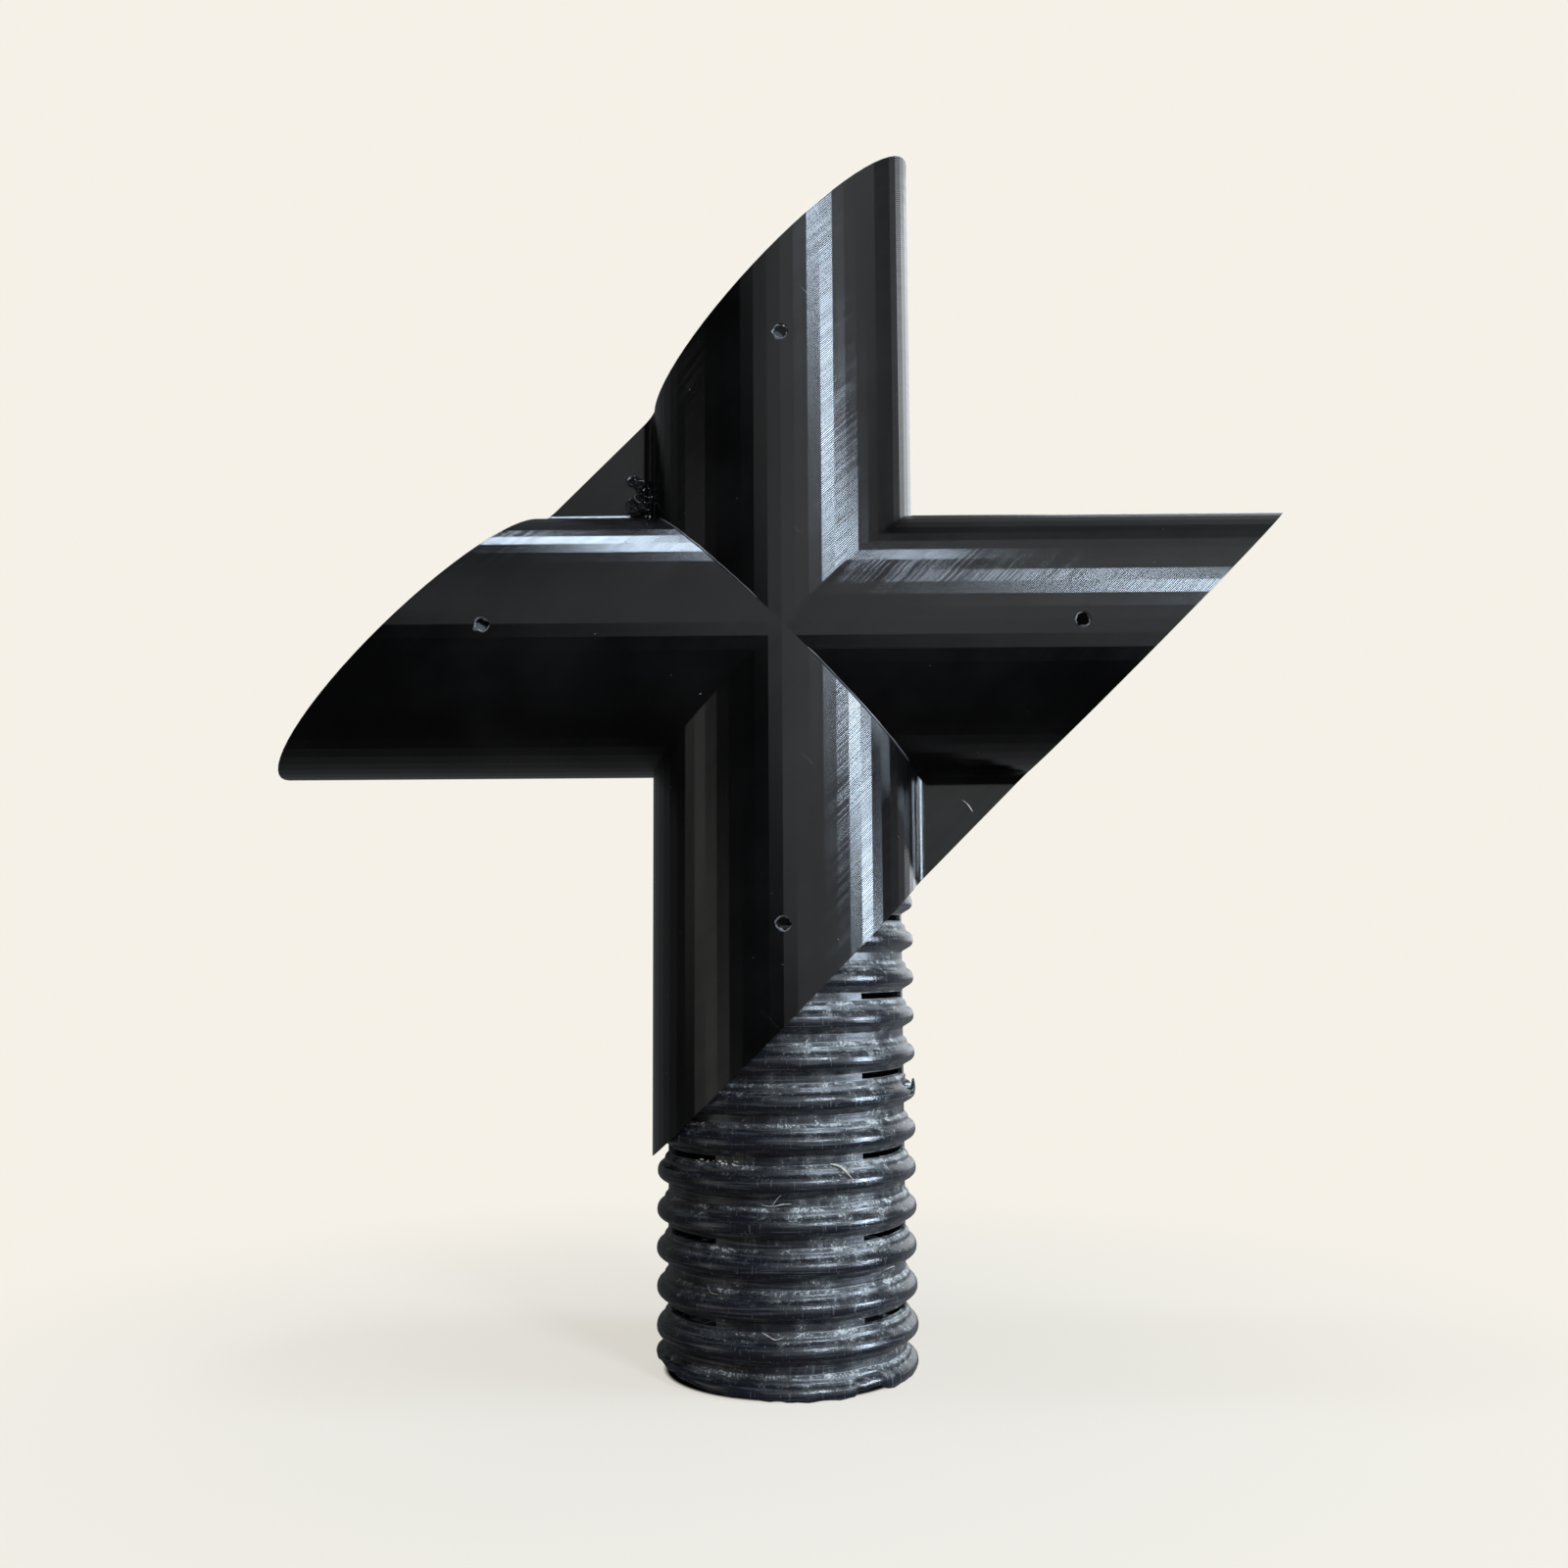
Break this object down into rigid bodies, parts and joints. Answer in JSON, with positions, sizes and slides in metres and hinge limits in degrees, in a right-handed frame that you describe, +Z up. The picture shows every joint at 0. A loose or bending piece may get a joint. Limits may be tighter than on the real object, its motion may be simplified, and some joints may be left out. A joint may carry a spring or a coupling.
{
  "type": "four-way pipe cross on slotted pipe",
  "caption": "Four-way printed pipe cross with slant-cut sockets, turning on an upright length of slotted corrugated pipe",
  "frame": {"origin": "centre of the pipe's lower end, on the surface that the pipe stands on", "axes": "+Z up along the pipe, +X to the right along the horizontal sockets, -Y the front with the screw holes"},
  "size_m": [0.1968, 0.0512, 0.236],
  "materials": {
    "pipe_plastic": "satin, scuffed and dusty",
    "printed_plastic": "satin, fine layer lines"
  },
  "bodies": {
    "pipe": {"slotted_pipe": "pipe_plastic"},
    "head": {"cross_fitting": "printed_plastic"}
  },
  "joints": [
    {"name": "head_turn", "type": "hinge", "parent": "pipe", "child": "head", "pos_m": [0, 0, 0.1376], "axis": [0, 0, 1], "continuous": true}
  ]
}
